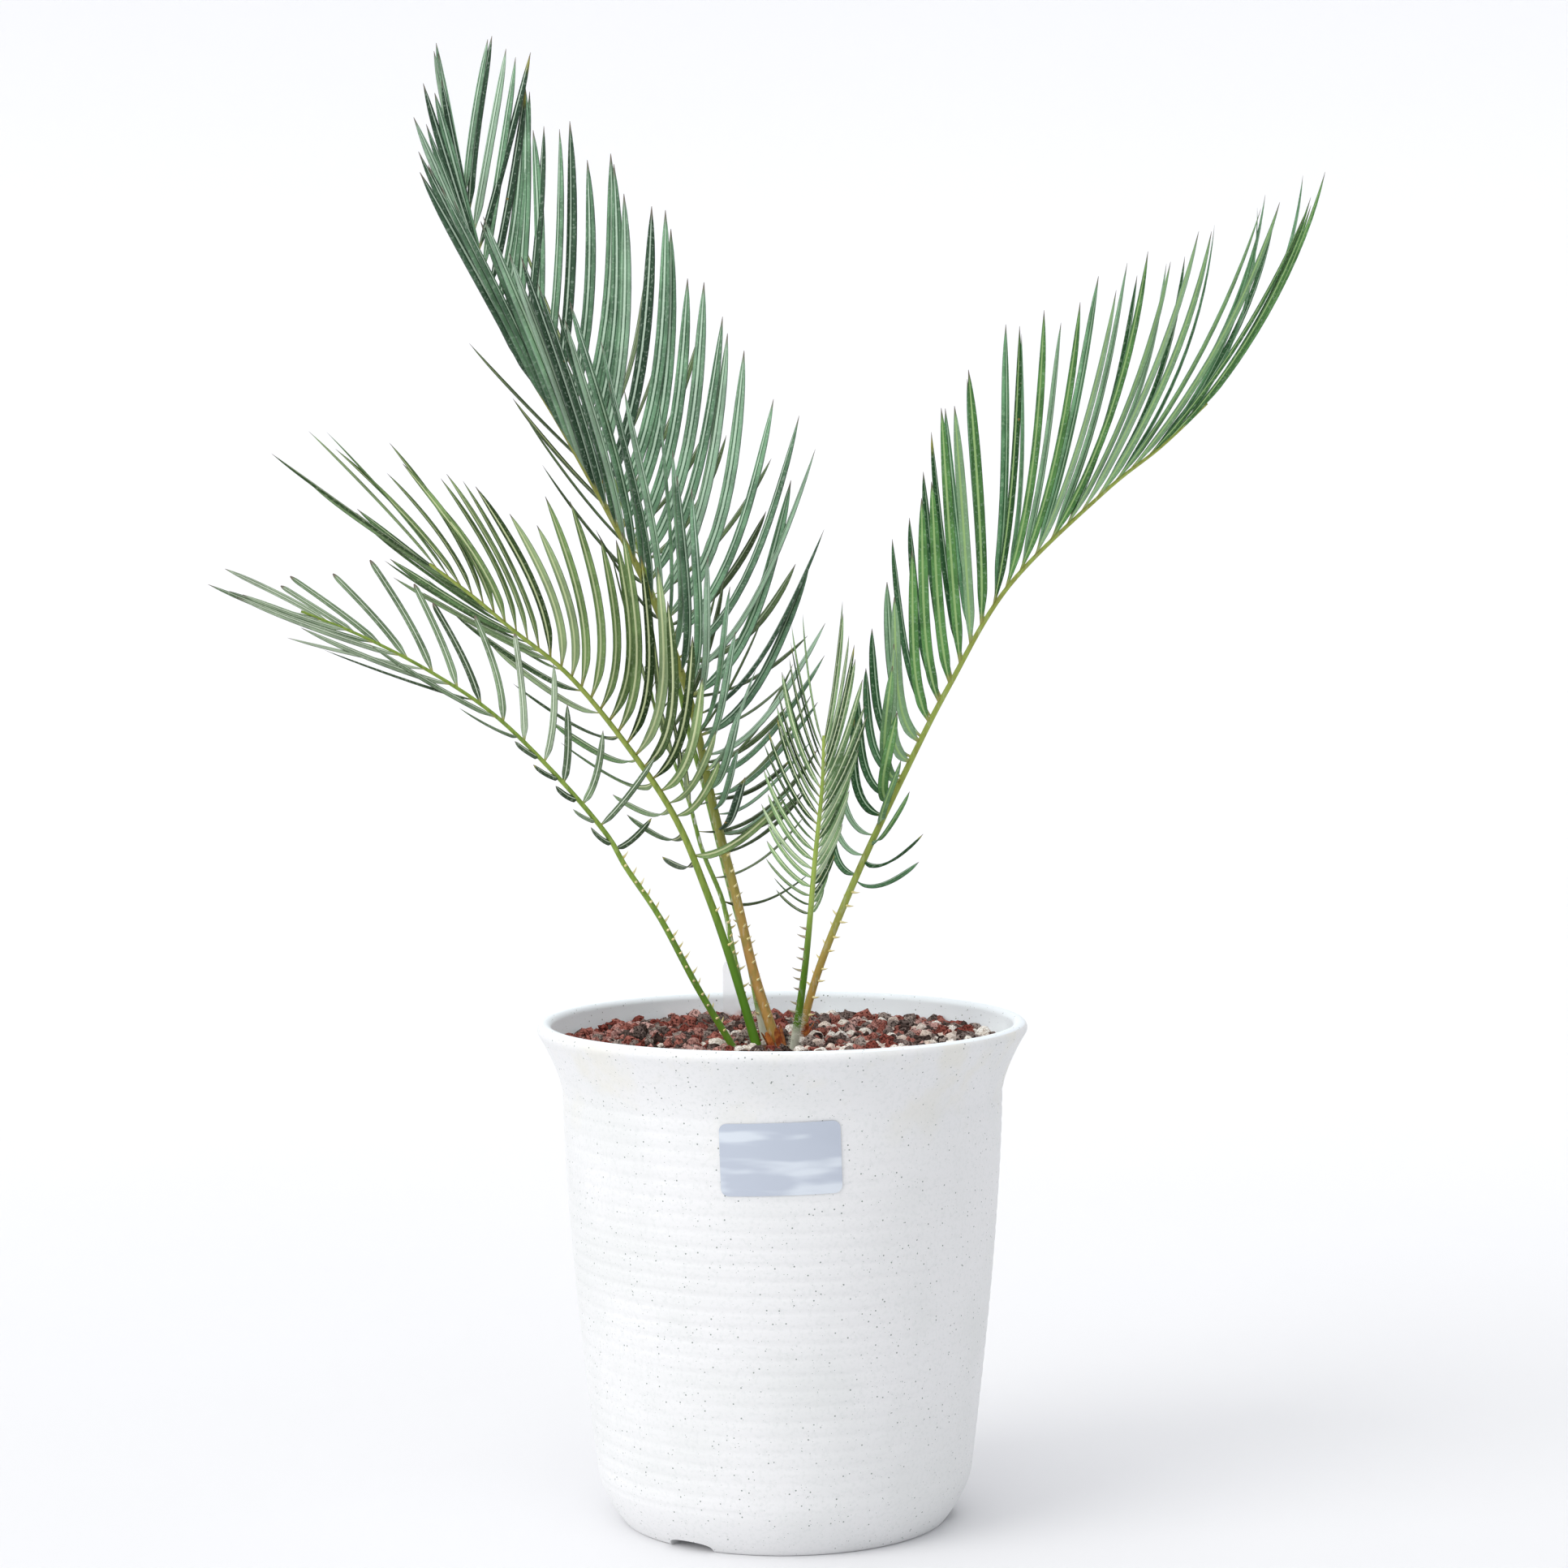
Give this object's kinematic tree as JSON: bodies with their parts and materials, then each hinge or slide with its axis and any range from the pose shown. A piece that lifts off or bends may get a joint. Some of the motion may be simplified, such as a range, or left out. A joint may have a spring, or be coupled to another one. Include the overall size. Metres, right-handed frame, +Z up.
{
  "type": "potted cycad",
  "caption": "Young cycad with stiff, feather-like blue-green fronds, spiny stalks and a short hidden stem, growing in a tall flared white plastic pot topped with lava grit.",
  "frame": {"origin": "centre of the bounding box in plan, on the plane that the pot's foot stands on", "axes": "+Z up, -Y towards the viewer of the picture, +X to the right of the picture"},
  "size_m": [0.5878, 0.2824, 0.8151],
  "materials": {
    "speckled_plastic": "matte",
    "lava_grit": "matte",
    "stem_bark": "matte",
    "tag_plastic": "satin",
    "silver_label": "satin",
    "glaucous_leaf": "satin"
  },
  "bodies": {
    "root": {"pot": "speckled_plastic", "soil": "lava_grit", "stem": "stem_bark", "plant_tag": "tag_plastic", "label": "silver_label", "frond_right": "glaucous_leaf", "frond_small": "glaucous_leaf", "frond_tall": "glaucous_leaf", "frond_left": "glaucous_leaf", "frond_low": "glaucous_leaf", "frond_inner": "glaucous_leaf", "frond_back": "glaucous_leaf"}
  },
  "joints": []
}
